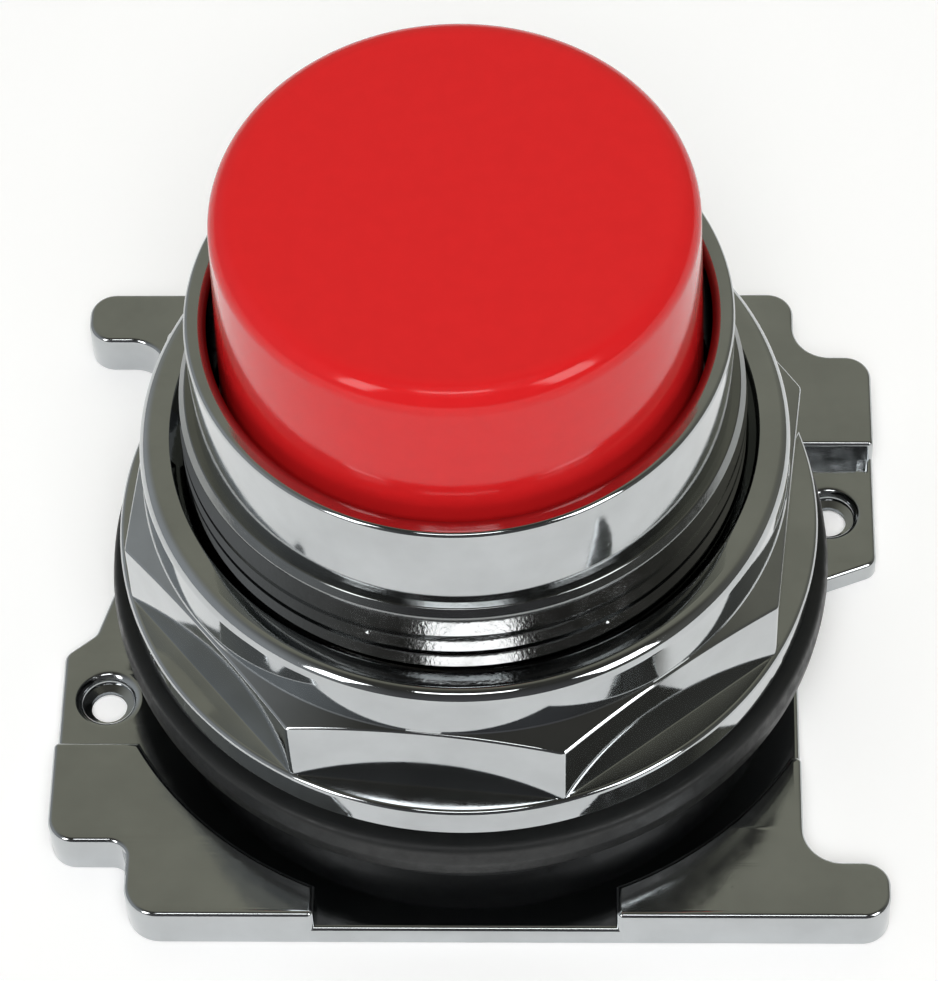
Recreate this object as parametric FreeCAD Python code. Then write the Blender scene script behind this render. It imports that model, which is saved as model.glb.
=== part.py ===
"""Industrial push-button operator with an extended cap, for a 30.5 mm panel hole.

A die-cast base plate and threaded bushing in one piece carry an octagonal
mounting nut, a rubber panel gasket and the spring-returned button. Lengths are
in millimetres. The origin is on the bushing axis at the rear face of the plate;
+Z points out of the panel through the button and -Y is the front edge.
"""
import FreeCAD, Part
import math
import os

Vector = FreeCAD.Vector

# --- travel and thread -----------------------------------------------------
PRESS_TRAVEL = 5.5
THREAD_PITCH = 25.4 / 18
THREAD_CREST_RADIUS = 15.0
THREAD_ROOT_RADIUS = 14.4
NUT_CLEARANCE = 0.06
TOUCH_GAP = 0.05
FIT_GAP = 0.03
SLIP_GAP = 0.1
OVERLAP = 0.5
THREAD_FLANK_SHARE = 0.42

# --- base plate --------------------------------------------------------------
PLATE_THICKNESS = 2.9
FLOOR_Z = 1.4
PLATE_HALF_DEPTH = 21.0
EAR_X = 22.8
SIDE_X = 18.2
NOTCH_X = 18.4
NOTCH_Y = 16.4
TAB_Y = 17.5
SUNK_RADIUS = 20.7
CHANNEL_HALF_WIDTH = 8.1
PAD_STEP_Y = 10.05
PAD_FAR_Y = 10.9
BLOCK_HOLE_X = 20.2
BLOCK_HOLE_Y = 6.3
BLOCK_HOLE_RADIUS = 1.4
BLOCK_HOLE_MOUTH_RADIUS = 2.0
TOP_EDGE_ROUNDING = 0.3

# --- bushing -------------------------------------------------------------------
BEZEL_RADIUS = 14.2
BEZEL_TOP_Z = 28.8
THREAD_TOP_Z = 22.9
LEDGE_RADIUS = 14.9
LEDGE_FLAT_RADIUS = 14.6
LEDGE_HEIGHT = 0.8
LEDGE_LEAN = 0.2
LEDGE_FILLET = 0.25
BEZEL_ROUNDING = 0.3
MOUTH_RADIUS = 13.05
MOUTH_ROUNDING = 0.5
MOUTH_CHAMFER = 0.4
MOUTH_FLOOR_Z = 21.5
CAVITY_RADIUS = 12.9
SHOULDER_TOP_Z = 9.0
SHOULDER_Z = 7.6
SHOULDER_RADIUS = 8.8
REAR_BORE_RADIUS = 10.2
RING_GROOVE_RADIUS = 11.0
KEYWAY_WIDTH = 3.0
KEYWAY_FLOOR_RADIUS = 14.1
KEY_GAP = 0.15

# --- spacers, gasket, washer and nut -----------------------------------------
SPACER_OUTER_RADIUS = 17.6
SPACER_THICKNESS = 1.75
SPACER_GAP = 0.15
GASKET_RADIUS = 19.8
GASKET_THICKNESS = 2.6
GASKET_ROUNDING = 0.45
WASHER_RADIUS = 18.5
WASHER_THICKNESS = 0.55
FLANGE_RADIUS = 19.1
FLANGE_HEIGHT = 2.15
FLANGE_ROUNDING = 0.3
NUT_ACROSS_FLATS = 35.0
NUT_SIDES = 8
NUT_FLAT_HEIGHT = 5.1
NUT_CORNER_DROP = 0.68
NUT_CORNER_ROUNDING = 0.15
NUT_TURN_OFFSET = 16.5
COLLAR_RADIUS = 17.35
COLLAR_ROUNDING = 0.75
COLLAR_MOUTH = 0.65
NUT_REAR_CHAMFER = 0.4
NUT_HEIGHT = 10.6

# --- button group ---------------------------------------------------------------
CAP_RADIUS = 12.35
CAP_SKIRT_RADIUS = 12.65
CAP_TOP_Z = 37.7
CAP_ROUNDING = 1.4
CAP_WALL = 1.6
CAP_INNER_ROUNDING = 0.6
CAP_SKIRT_ROUNDING = 0.4
CAP_SKIRT_Z = 24.5
CAP_BOSS_RADIUS = 4.0
CAP_BOSS_Z = 31.0
CAP_RIB_HALF_WIDTH = 0.5
STEM_RADIUS = 4.0
STEM_FLAT = 3.5
STEM_BOTTOM_Z = 1.9
STEM_BORE_RADIUS = 2.8
STEM_BORE_TOP_Z = 26.5
SCREW_RADIUS = 1.5
SCREW_TOP_Z = 34.5
SCREW_END_GAP = 0.3
SCREW_HEAD_RADIUS = 2.4
SCREW_HEAD_HEIGHT = 1.8
SCREW_HEAD_ROUNDING = 0.6
RECESS_HALF_LENGTH = 1.3
RECESS_HALF_WIDTH = 0.3
LOCK_WASHER_RADIUS = 2.55
LOCK_WASHER_THICKNESS = 0.6
LOCK_WASHER_HALF_SLIT = 0.2
HEAD_RADIUS = 10.4
HEAD_THICKNESS = 2.0
PLUNGER_FLANGE_RADIUS = 8.0
PLUNGER_FLANGE_Z = 19.4
PLUNGER_FLANGE_THICKNESS = 1.5
NECK_RADIUS = 5.0
HEAD_NECK_RADIUS = 4.4
BEAD_HEIGHT = 2.0
COLLAR_HEIGHT = 1.3
CLIP_GROOVE_RADIUS = 3.2
CLIP_GROOVE_Z = 2.6
CLIP_THICKNESS = 0.8
PAD_RADIUS = 8.6
PAD_BOTTOM_Z = 0.4
PAD_ROUNDING = 0.4
PAD_PLUG_LENGTH = 4.0

# --- seal and small rings ------------------------------------------------------
SEAL_RIM_INNER = 11.2
SEAL_RIM_HEIGHT = 1.4
SEAL_WALL = 0.75
SEAL_BEAD_OUTER = 6.6
SEAL_SHOULDER_RADIUS = 8.5
SEAL_BEND_DROP = 0.6
SEAL_BEND_OUT = 0.8
CLAMP_RING_INNER = 11.95
SEAT_RADIUS = 8.2
SEAT_LIP = 0.55
SEAT_LIP_HEIGHT = 1.2
SNAP_RING_INNER = 9.1
SNAP_RING_GAP = 3.0
CLIP_OUTER_RADIUS = 6.2
CLIP_HALF_OPENING = 2.6
BUMP_WASHER_RADIUS = 7.5

# --- spring --------------------------------------------------------------------
SPRING_HALF_TURNS = 11
SPRING_WIRE_RADIUS = 0.4
SPRING_MEAN_RADIUS = 6.9
SPRING_SEAT_THICKNESS = 0.6

# --- heights that follow from the sizes above ---------------------------------
GASKET_Z = FLOOR_Z + 2 * SPACER_THICKNESS
WASHER_Z = GASKET_Z + GASKET_THICKNESS + TOUCH_GAP
NUT_Z = WASHER_Z + WASHER_THICKNESS + TOUCH_GAP
PLUNGER_FLANGE_TOP_Z = PLUNGER_FLANGE_Z + PLUNGER_FLANGE_THICKNESS
NECK_TOP_Z = PLUNGER_FLANGE_TOP_Z + BEAD_HEIGHT + COLLAR_HEIGHT
BUSH_BOTTOM_Z = CLIP_GROOVE_Z + 2 * CLIP_THICKNESS
SPRING_TOP_Z = PLUNGER_FLANGE_Z - SPRING_SEAT_THICKNESS
BUSH_TOP_Z = SPRING_TOP_Z - PRESS_TRAVEL - 2 * TOUCH_GAP


def rounded_edges(corners, place):
    """Edges of a closed outline through corners (u, v, rounding radius)."""
    count = len(corners)
    points = [Vector(u, v, 0) for u, v, _ in corners]
    starts, middles, ends = [], [], []
    for index, (_, _, radius) in enumerate(corners):
        here = points[index]
        back = (points[index - 1] - here).normalize()
        ahead = (points[(index + 1) % count] - here).normalize()
        half_angle = back.getAngle(ahead) / 2
        cut = radius / math.tan(half_angle)
        starts.append(here + back * cut)
        ends.append(here + ahead * cut)
        bisector = (back + ahead).normalize() if radius else back
        middles.append(here + bisector * (radius / math.sin(half_angle) - radius))
    edges = []
    for index in range(count):
        line_start, line_end = ends[index - 1], starts[index]
        if line_start.distanceToPoint(line_end) > 1e-6:
            edges.append(Part.LineSegment(place(line_start), place(line_end)).toShape())
        if corners[index][2]:
            arc = Part.Arc(place(starts[index]), place(middles[index]), place(ends[index]))
            edges.append(arc.toShape())
    return edges


def flat_face(corners, z):
    """Flat face at height z with the given rounded outline."""
    edges = rounded_edges(corners, lambda p: Vector(p.x, p.y, z))
    return Part.Face(Part.Wire(edges))


def turned(corners):
    """Solid of revolution about Z from corners (radius, z, rounding)."""
    edges = rounded_edges(corners, lambda p: Vector(p.x, 0, p.y))
    return Part.Face(Part.Wire(edges)).revolve(Vector(0, 0, 0), Vector(0, 0, 1), 360)


def sharp(points):
    """The same corners with no rounding."""
    return [(u, v, 0) for u, v in points]


def ring(inner, outer, z, height, rounding=0):
    """Flat ring about Z, its outer edges rounded."""
    return turned([(inner, z, 0), (outer, z, rounding),
                   (outer, z + height, rounding), (inner, z + height, 0)])


def cylinder(radius, z, height, x=0, y=0):
    return Part.makeCylinder(radius, height, Vector(x, y, z))


def block(x_low, x_high, y_low, y_high, z_low, z_high):
    size = (x_high - x_low, y_high - y_low, z_high - z_low)
    return Part.makeBox(*size, Vector(x_low, y_low, z_low))


def plate_outline():
    """Corners of the plate, counter-clockwise from the front left."""
    return [
        (-NOTCH_X, -PLATE_HALF_DEPTH, 1.9),
        (EAR_X, -PLATE_HALF_DEPTH, 1.5),
        (EAR_X, -TAB_Y, 1.4),
        (SIDE_X, -TAB_Y, 2.1),
        (SIDE_X, 1.0, 1.0),
        (EAR_X, 2.85, 0.8),
        (EAR_X, NOTCH_Y, 1.5),
        (NOTCH_X, NOTCH_Y, 2.1),
        (NOTCH_X, PLATE_HALF_DEPTH, 1.5),
        (-EAR_X, PLATE_HALF_DEPTH, 1.5),
        (-EAR_X, TAB_Y, 1.4),
        (-SIDE_X, TAB_Y, 2.1),
        (-SIDE_X, 8.0, 1.0),
        (-21.15, -1.95, 0.8),
        (-EAR_X, -3.35, 0.8),
        (-EAR_X, -NOTCH_Y, 1.5),
        (-NOTCH_X, -NOTCH_Y, 1.0),
    ]


def plate_sinks():
    """Everything taken out above the sunk floor: middle, channels and side pads."""
    height = PLATE_THICKNESS - FLOOR_Z + 1
    above = FLOOR_Z + height
    beyond = PLATE_HALF_DEPTH + 3
    tools = [cylinder(SUNK_RADIUS, FLOOR_Z, height),
             block(-CHANNEL_HALF_WIDTH, CHANNEL_HALF_WIDTH, -beyond, beyond, FLOOR_Z, above)]
    for side in (-1, 1):
        x_low, x_high = sorted((side * CHANNEL_HALF_WIDTH, side * beyond))
        y_low, y_high = sorted((side * PAD_STEP_Y, -side * PAD_FAR_Y))
        tools.append(block(x_low, x_high, y_low, y_high, FLOOR_Z, above))
    return tools


def block_holes():
    """The two contact-block holes, each with a countersunk mouth."""
    tools = []
    mouth_depth = BLOCK_HOLE_MOUTH_RADIUS - BLOCK_HOLE_RADIUS
    for side in (-1, 1):
        x, y = side * BLOCK_HOLE_X, side * BLOCK_HOLE_Y
        tools.append(cylinder(BLOCK_HOLE_RADIUS, -1, FLOOR_Z + 2, x, y))
        tools.append(Part.makeCone(BLOCK_HOLE_RADIUS, BLOCK_HOLE_MOUTH_RADIUS, mouth_depth,
                                   Vector(x, y, FLOOR_Z - mouth_depth)))
    return tools


def round_top_edges(solid, heights):
    """Round the upper outline edges that lie at the given heights."""
    edges = []
    for edge in solid.Edges:
        box = edge.BoundBox
        flat = box.ZMax - box.ZMin < 1e-4
        if flat and any(abs(box.ZMax - z) < 1e-4 for z in heights):
            edges.append(edge)
    return solid.makeFillet(TOP_EDGE_ROUNDING, edges)


def base_plate():
    plate = flat_face(plate_outline(), 0).extrude(Vector(0, 0, PLATE_THICKNESS))
    for tool in plate_sinks():
        plate = plate.cut(tool)
    plate = round_top_edges(plate.removeSplitter(), [PLATE_THICKNESS])
    for tool in block_holes():
        plate = plate.cut(tool)
    return plate


def bushing_outside():
    """Threaded barrel with its plain bezel band, as a solid of revolution."""
    profile = sharp([(0, 0), (THREAD_ROOT_RADIUS, 0), (THREAD_ROOT_RADIUS, FLOOR_Z)])
    turns = int((THREAD_TOP_Z - GASKET_Z) / THREAD_PITCH)
    thread_start = THREAD_TOP_Z - LEDGE_HEIGHT - turns * THREAD_PITCH
    for turn in range(turns):
        z = thread_start + turn * THREAD_PITCH
        flank = THREAD_FLANK_SHARE * THREAD_PITCH
        profile += sharp([(THREAD_ROOT_RADIUS, z), (THREAD_CREST_RADIUS, z + flank),
                          (THREAD_CREST_RADIUS, z + THREAD_PITCH - flank)])
    profile += [
        (THREAD_ROOT_RADIUS, THREAD_TOP_Z - LEDGE_HEIGHT, 0),
        (LEDGE_RADIUS, THREAD_TOP_Z - LEDGE_HEIGHT + LEDGE_LEAN, 0),
        (LEDGE_RADIUS, THREAD_TOP_Z - LEDGE_HEIGHT / 2, 0),
        (LEDGE_FLAT_RADIUS, THREAD_TOP_Z, 0),
        (BEZEL_RADIUS, THREAD_TOP_Z, LEDGE_FILLET),
        (BEZEL_RADIUS, BEZEL_TOP_Z, BEZEL_ROUNDING),
        (0, BEZEL_TOP_Z, 0),
    ]
    return turned(profile)


def bushing_inside():
    """The stepped hole through the bushing, rear to front."""
    return turned(sharp([
        (0, -1), (REAR_BORE_RADIUS, -1),
        (REAR_BORE_RADIUS, BUSH_BOTTOM_Z - 1), (RING_GROOVE_RADIUS, BUSH_BOTTOM_Z - 1),
        (RING_GROOVE_RADIUS, BUSH_BOTTOM_Z), (REAR_BORE_RADIUS, BUSH_BOTTOM_Z),
        (REAR_BORE_RADIUS, SHOULDER_Z), (SHOULDER_RADIUS, SHOULDER_Z),
        (SHOULDER_RADIUS, SHOULDER_TOP_Z), (CAVITY_RADIUS, SHOULDER_TOP_Z),
        (CAVITY_RADIUS, MOUTH_FLOOR_Z), (MOUTH_RADIUS, MOUTH_FLOOR_Z + MOUTH_CHAMFER),
        (MOUTH_RADIUS, BEZEL_TOP_Z + 1), (0, BEZEL_TOP_Z + 1),
    ]))


def keyway():
    """Groove along the left of the thread that keeps the thrust washer from turning."""
    half = KEYWAY_WIDTH / 2
    return block(-THREAD_CREST_RADIUS - 1, -KEYWAY_FLOOR_RADIUS, -half, half, FLOOR_Z, THREAD_TOP_Z - 1)


def round_mouth(solid):
    """Round the bezel's inner lip, where the cap goes in."""
    lip = []
    for edge in solid.Edges:
        box = edge.BoundBox
        if abs(box.ZMin - BEZEL_TOP_Z) < 1e-3 and abs(box.XMax - MOUTH_RADIUS) < 1e-2:
            lip.append(edge)
    return solid.makeFillet(MOUTH_ROUNDING, lip)


def base_housing():
    solid = base_plate().fuse(bushing_outside())
    solid = solid.cut(bushing_inside()).cut(keyway())
    return round_mouth(solid)


def spacer_ring(index):
    """One of the two spacer rings that make up for a thin panel."""
    inner = THREAD_CREST_RADIUS + SPACER_GAP
    return ring(inner, SPACER_OUTER_RADIUS, FLOOR_Z + index * SPACER_THICKNESS, SPACER_THICKNESS)


def panel_gasket():
    inner = THREAD_CREST_RADIUS + TOUCH_GAP
    return ring(inner, GASKET_RADIUS, GASKET_Z, GASKET_THICKNESS, GASKET_ROUNDING)


def thrust_washer():
    """Thin washer under the nut, with a tab that rides in the keyway."""
    washer = ring(THREAD_CREST_RADIUS + SLIP_GAP, WASHER_RADIUS, WASHER_Z, WASHER_THICKNESS)
    half = KEYWAY_WIDTH / 2 - KEY_GAP
    tab = block(-THREAD_CREST_RADIUS - OVERLAP, -KEYWAY_FLOOR_RADIUS - KEY_GAP, -half, half,
                WASHER_Z, WASHER_Z + WASHER_THICKNESS)
    return washer.fuse(tab).removeSplitter()


def octagon_prism():
    """Wrench flats, their corners eased by a shallow cone."""
    corner_radius = NUT_ACROSS_FLATS / 2 / math.cos(math.pi / NUT_SIDES)
    corners = []
    for side in range(NUT_SIDES):
        angle = math.radians(NUT_TURN_OFFSET + side * 360 / NUT_SIDES)
        corners.append((corner_radius * math.cos(angle), corner_radius * math.sin(angle),
                        NUT_CORNER_ROUNDING))
    base_z = NUT_Z + FLANGE_HEIGHT / 2
    flats_top_z = NUT_Z + FLANGE_HEIGHT + NUT_FLAT_HEIGHT
    prism = flat_face(corners, base_z).extrude(Vector(0, 0, flats_top_z - base_z))
    slope = NUT_CORNER_DROP / (corner_radius - NUT_ACROSS_FLATS / 2)
    reach = 3.0
    envelope = turned(sharp([
        (0, base_z - 1), (NUT_ACROSS_FLATS / 2 + reach, base_z - 1),
        (NUT_ACROSS_FLATS / 2 + reach, flats_top_z - slope * reach),
        (NUT_ACROSS_FLATS / 2, flats_top_z), (0, flats_top_z),
    ]))
    return prism.common(envelope)


def mounting_nut():
    """Octagonal nut with a round flange below and a round collar above."""
    top_z = NUT_Z + NUT_HEIGHT
    bore = THREAD_CREST_RADIUS + NUT_CLEARANCE
    flange = ring(0, FLANGE_RADIUS, NUT_Z, FLANGE_HEIGHT, FLANGE_ROUNDING)
    collar = turned([(0, NUT_Z + 1, 0), (COLLAR_RADIUS, NUT_Z + 1, 0),
                     (COLLAR_RADIUS, top_z, COLLAR_ROUNDING), (0, top_z, 0)])
    nut = flange.fuse(octagon_prism()).fuse(collar)
    hole = turned(sharp([
        (0, NUT_Z - 1), (bore + NUT_REAR_CHAMFER, NUT_Z - 1), (bore + NUT_REAR_CHAMFER, NUT_Z),
        (bore, NUT_Z + NUT_REAR_CHAMFER),
        (bore, top_z - COLLAR_MOUTH), (bore + COLLAR_MOUTH, top_z),
        (bore + COLLAR_MOUTH, top_z + 1), (0, top_z + 1),
    ]))
    return nut.cut(hole).removeSplitter()


def button_cap():
    """Extended cap: a deep cup with a screw boss and four ribs under its top."""
    inner = CAP_RADIUS - CAP_WALL
    under_top = CAP_TOP_Z - CAP_WALL
    cap = turned([
        (0, under_top, 0), (inner, under_top, CAP_INNER_ROUNDING), (inner, CAP_SKIRT_Z, 0),
        (CAP_SKIRT_RADIUS, CAP_SKIRT_Z, CAP_SKIRT_ROUNDING), (CAP_RADIUS, CAP_TOP_Z, CAP_ROUNDING),
        (0, CAP_TOP_Z, 0),
    ])
    cap = cap.fuse(cylinder(CAP_BOSS_RADIUS, CAP_BOSS_Z, under_top - CAP_BOSS_Z + OVERLAP))
    rib = block(CAP_BOSS_RADIUS - 1, inner + OVERLAP, -CAP_RIB_HALF_WIDTH, CAP_RIB_HALF_WIDTH,
                CAP_BOSS_Z, under_top + OVERLAP)
    for quarter in range(4):
        turned_rib = rib.copy()
        turned_rib.rotate(Vector(0, 0, 0), Vector(0, 0, 1), 90 * quarter)
        cap = cap.fuse(turned_rib)
    hole = cylinder(SCREW_RADIUS + FIT_GAP, CAP_BOSS_Z - 1, SCREW_TOP_Z + SCREW_END_GAP - CAP_BOSS_Z + 1)
    return cap.cut(hole).removeSplitter()


def plunger():
    """Hollow stem with the spring flange, the seal neck and the cap's seat."""
    body = turned(sharp([
        (0, STEM_BOTTOM_Z), (STEM_RADIUS, STEM_BOTTOM_Z),
        (STEM_RADIUS, CLIP_GROOVE_Z), (CLIP_GROOVE_RADIUS, CLIP_GROOVE_Z),
        (CLIP_GROOVE_RADIUS, CLIP_GROOVE_Z + CLIP_THICKNESS),
        (STEM_RADIUS, CLIP_GROOVE_Z + CLIP_THICKNESS),
        (STEM_RADIUS, PLUNGER_FLANGE_Z), (PLUNGER_FLANGE_RADIUS, PLUNGER_FLANGE_Z),
        (PLUNGER_FLANGE_RADIUS, PLUNGER_FLANGE_TOP_Z), (NECK_RADIUS, PLUNGER_FLANGE_TOP_Z),
        (NECK_RADIUS, NECK_TOP_Z), (HEAD_NECK_RADIUS, NECK_TOP_Z),
        (HEAD_NECK_RADIUS, CAP_BOSS_Z - HEAD_THICKNESS), (HEAD_RADIUS, CAP_BOSS_Z - HEAD_THICKNESS),
        (HEAD_RADIUS, CAP_BOSS_Z), (0, CAP_BOSS_Z),
    ]))
    for side in (-1, 1):
        y_low, y_high = sorted((side * STEM_FLAT, side * (STEM_RADIUS + 1)))
        body = body.cut(block(-STEM_RADIUS - 1, STEM_RADIUS + 1, y_low, y_high,
                              STEM_BOTTOM_Z - 1, SPRING_TOP_Z))
    body = body.cut(cylinder(STEM_BORE_RADIUS, STEM_BOTTOM_Z - 1, STEM_BORE_TOP_Z - STEM_BOTTOM_Z + 1))
    return body.cut(cylinder(SCREW_RADIUS + SLIP_GAP, STEM_BORE_TOP_Z - 1, CAP_TOP_Z))


def cap_lock_washer():
    """Split spring washer under the screw head."""
    bottom = STEM_BORE_TOP_Z - LOCK_WASHER_THICKNESS
    washer = ring(SCREW_RADIUS + SLIP_GAP, LOCK_WASHER_RADIUS, bottom, LOCK_WASHER_THICKNESS)
    slit = LOCK_WASHER_HALF_SLIT
    return washer.cut(block(0, STEM_BORE_RADIUS, -slit, slit, 0, CAP_TOP_Z))


def cap_screw():
    """Pan-head screw that holds the cap, with a cross recess facing the rear."""
    head_top = STEM_BORE_TOP_Z - LOCK_WASHER_THICKNESS
    head_bottom = head_top - SCREW_HEAD_HEIGHT
    head = turned([(0, head_bottom, 0), (SCREW_HEAD_RADIUS, head_bottom, SCREW_HEAD_ROUNDING),
                   (SCREW_HEAD_RADIUS, head_top, 0), (0, head_top, 0)])
    screw = head.fuse(cylinder(SCREW_RADIUS, head_top - OVERLAP, SCREW_TOP_Z - head_top + OVERLAP))
    long, short = RECESS_HALF_LENGTH, RECESS_HALF_WIDTH
    for half_x, half_y in ((long, short), (short, long)):
        screw = screw.cut(block(-half_x, half_x, -half_y, half_y, head_bottom - 1, head_bottom + 1))
    return screw.removeSplitter()


def diaphragm_collar():
    """Ring that holds the seal's inner bead down on the plunger's neck."""
    return ring(NECK_RADIUS + FIT_GAP, PLUNGER_FLANGE_RADIUS,
                PLUNGER_FLANGE_TOP_Z + BEAD_HEIGHT, COLLAR_HEIGHT, 0.3)


def seal_diaphragm():
    """Moulded rubber boot from the bushing's shoulder to the plunger's neck."""
    bead_z = PLUNGER_FLANGE_TOP_Z + TOUCH_GAP
    bead_top = PLUNGER_FLANGE_TOP_Z + BEAD_HEIGHT
    rim_top = SHOULDER_TOP_Z + SEAL_RIM_HEIGHT
    rim_outer = CAVITY_RADIUS - TOUCH_GAP
    neck = NECK_RADIUS + FIT_GAP
    bend_z = PLUNGER_FLANGE_Z - SEAL_BEND_DROP
    return turned(sharp([
        (SEAL_RIM_INNER, SHOULDER_TOP_Z), (rim_outer, SHOULDER_TOP_Z),
        (rim_outer, rim_top), (SEAL_RIM_INNER + OVERLAP, rim_top),
        (SEAL_SHOULDER_RADIUS + 2 * SEAL_WALL, bend_z + 0.2),
        (SEAL_SHOULDER_RADIUS + 0.4, bead_z + SEAL_WALL), (SEAL_BEAD_OUTER, bead_z + SEAL_WALL),
        (SEAL_BEAD_OUTER, bead_top), (neck, bead_top), (neck, bead_z),
        (SEAL_SHOULDER_RADIUS, bead_z), (SEAL_SHOULDER_RADIUS + SEAL_BEND_OUT, bend_z),
        (SEAL_RIM_INNER - 0.25, rim_top),
    ]))


def diaphragm_clamp_ring():
    """Pressed-in ring that clamps the seal's outer rim on the shoulder."""
    return ring(CLAMP_RING_INNER, CAVITY_RADIUS - FIT_GAP, SHOULDER_TOP_Z + SEAL_RIM_HEIGHT,
                SEAL_RIM_HEIGHT)


def spring_seat():
    """Pressed steel cup between the spring and the plunger's flange."""
    seat = ring(STEM_RADIUS + SLIP_GAP, SEAT_RADIUS, SPRING_TOP_Z, SPRING_SEAT_THICKNESS)
    lip = ring(SEAT_RADIUS - SEAT_LIP, SEAT_RADIUS, SPRING_TOP_Z - SEAT_LIP_HEIGHT, SEAT_LIP_HEIGHT)
    return seat.fuse(lip).removeSplitter()


def return_spring():
    """Compression coil at its fitted length, as half turns that lean to and fro."""
    end_gap = SPRING_WIRE_RADIUS + TOUCH_GAP
    length = SPRING_TOP_Z - SHOULDER_Z - 2 * end_gap
    rise = length / SPRING_HALF_TURNS
    half_turns = []
    for index in range(SPRING_HALF_TURNS):
        side = 1 if index % 2 == 0 else -1
        start_z = SHOULDER_Z + end_gap + index * rise
        start = Vector(side * SPRING_MEAN_RADIUS, 0, start_z)
        section = Part.makeCircle(SPRING_WIRE_RADIUS, start, Vector(0, 1, 0))
        middle = Vector(0, 0, start_z + rise / 2)
        lean = Vector(side * rise, 0, 2 * SPRING_MEAN_RADIUS)
        half_turns.append(Part.Face(Part.Wire(section)).revolve(middle, lean, 180))
    return half_turns[0].multiFuse(half_turns[1:])


def guide_bush():
    """Moulded bush in the rear bore that guides the flat-sided stem."""
    boss_radius = SPRING_MEAN_RADIUS - SPRING_WIRE_RADIUS - 0.9
    outer = REAR_BORE_RADIUS - FIT_GAP
    bush = turned(sharp([
        (0, BUSH_BOTTOM_Z), (outer, BUSH_BOTTOM_Z), (outer, SHOULDER_Z),
        (boss_radius, SHOULDER_Z), (boss_radius, BUSH_TOP_Z), (0, BUSH_TOP_Z),
    ]))
    length = BUSH_TOP_Z - BUSH_BOTTOM_Z + 2
    hole = cylinder(STEM_RADIUS + TOUCH_GAP, BUSH_BOTTOM_Z - 1, length)
    flat = STEM_FLAT + TOUCH_GAP
    flats = block(-STEM_RADIUS - 1, STEM_RADIUS + 1, -flat, flat, BUSH_BOTTOM_Z - 1, BUSH_TOP_Z + 1)
    return bush.cut(hole.common(flats))


def bush_retaining_ring():
    """Internal snap ring that holds the guide bush in the rear bore."""
    full_ring = ring(SNAP_RING_INNER, RING_GROOVE_RADIUS - SLIP_GAP, BUSH_BOTTOM_Z - 1 + FIT_GAP,
                     1 - 2 * FIT_GAP)
    half_gap = SNAP_RING_GAP / 2
    return full_ring.cut(block(-half_gap, half_gap, -RING_GROOVE_RADIUS - 1, 0, 0, SHOULDER_Z))


def bump_washer():
    """Soft washer that takes the knock when the button comes back up."""
    return ring(STEM_RADIUS + 2 * SLIP_GAP, BUMP_WASHER_RADIUS, CLIP_GROOVE_Z + CLIP_THICKNESS, CLIP_THICKNESS)


def plunger_stop_clip():
    """Open clip in the stem's groove: the stop for the button's rest position."""
    clip = ring(CLIP_GROOVE_RADIUS + FIT_GAP, CLIP_OUTER_RADIUS, CLIP_GROOVE_Z, CLIP_THICKNESS)
    half = CLIP_HALF_OPENING
    return clip.cut(block(0, CLIP_OUTER_RADIUS + 1, -half, half, 0, SHOULDER_Z))


def actuator_pad():
    """Pad plugged into the stem's rear end, which works the contact blocks."""
    pad = ring(0, PAD_RADIUS, PAD_BOTTOM_Z, STEM_BOTTOM_Z - PAD_BOTTOM_Z, PAD_ROUNDING)
    plug = cylinder(STEM_BORE_RADIUS - FIT_GAP, STEM_BOTTOM_Z - OVERLAP, PAD_PLUG_LENGTH)
    return pad.fuse(plug).removeSplitter()


def main():
    pieces = {
        "base_housing": base_housing(),
        "spacer_ring_lower": spacer_ring(0),
        "spacer_ring_upper": spacer_ring(1),
        "panel_gasket": panel_gasket(),
        "thrust_washer": thrust_washer(),
        "mounting_nut": mounting_nut(),
        "button_cap": button_cap(),
        "plunger": plunger(),
        "cap_screw": cap_screw(),
        "cap_lock_washer": cap_lock_washer(),
        "seal_diaphragm": seal_diaphragm(),
        "diaphragm_collar": diaphragm_collar(),
        "diaphragm_clamp_ring": diaphragm_clamp_ring(),
        "spring_seat": spring_seat(),
        "return_spring": return_spring(),
        "guide_bush": guide_bush(),
        "bush_retaining_ring": bush_retaining_ring(),
        "bump_washer": bump_washer(),
        "plunger_stop_clip": plunger_stop_clip(),
        "actuator_pad": actuator_pad(),
    }
    os.makedirs("parts", exist_ok=True)
    for name, shape in pieces.items():
        shape.exportStep(f"parts/{name}.step")
        print(f"{name}: {len(shape.Solids)} solid, valid {shape.isValid()}, {shape.Volume:.1f} mm3")


main()
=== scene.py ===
import math

import bmesh
import bpy
from mathutils import Matrix, Vector
from mathutils.geometry import tessellate_polygon


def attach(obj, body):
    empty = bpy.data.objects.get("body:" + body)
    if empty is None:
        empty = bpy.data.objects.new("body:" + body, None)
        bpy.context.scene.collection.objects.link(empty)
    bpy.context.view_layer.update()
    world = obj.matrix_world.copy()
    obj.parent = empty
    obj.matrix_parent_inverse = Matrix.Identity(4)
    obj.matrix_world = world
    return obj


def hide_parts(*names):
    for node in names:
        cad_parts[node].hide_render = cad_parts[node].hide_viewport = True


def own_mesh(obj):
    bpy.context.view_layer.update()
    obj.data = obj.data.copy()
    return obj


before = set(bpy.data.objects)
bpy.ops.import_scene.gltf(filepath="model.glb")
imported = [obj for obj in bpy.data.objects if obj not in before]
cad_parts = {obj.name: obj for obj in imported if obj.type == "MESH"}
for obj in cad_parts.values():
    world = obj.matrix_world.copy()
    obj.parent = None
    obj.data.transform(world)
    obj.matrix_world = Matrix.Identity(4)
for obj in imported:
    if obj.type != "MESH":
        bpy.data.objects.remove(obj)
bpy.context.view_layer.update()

# Every shape below is given in millimetres and scaled once, in mesh_piece().
MM = 0.001
TAU = 2 * math.pi

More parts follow.
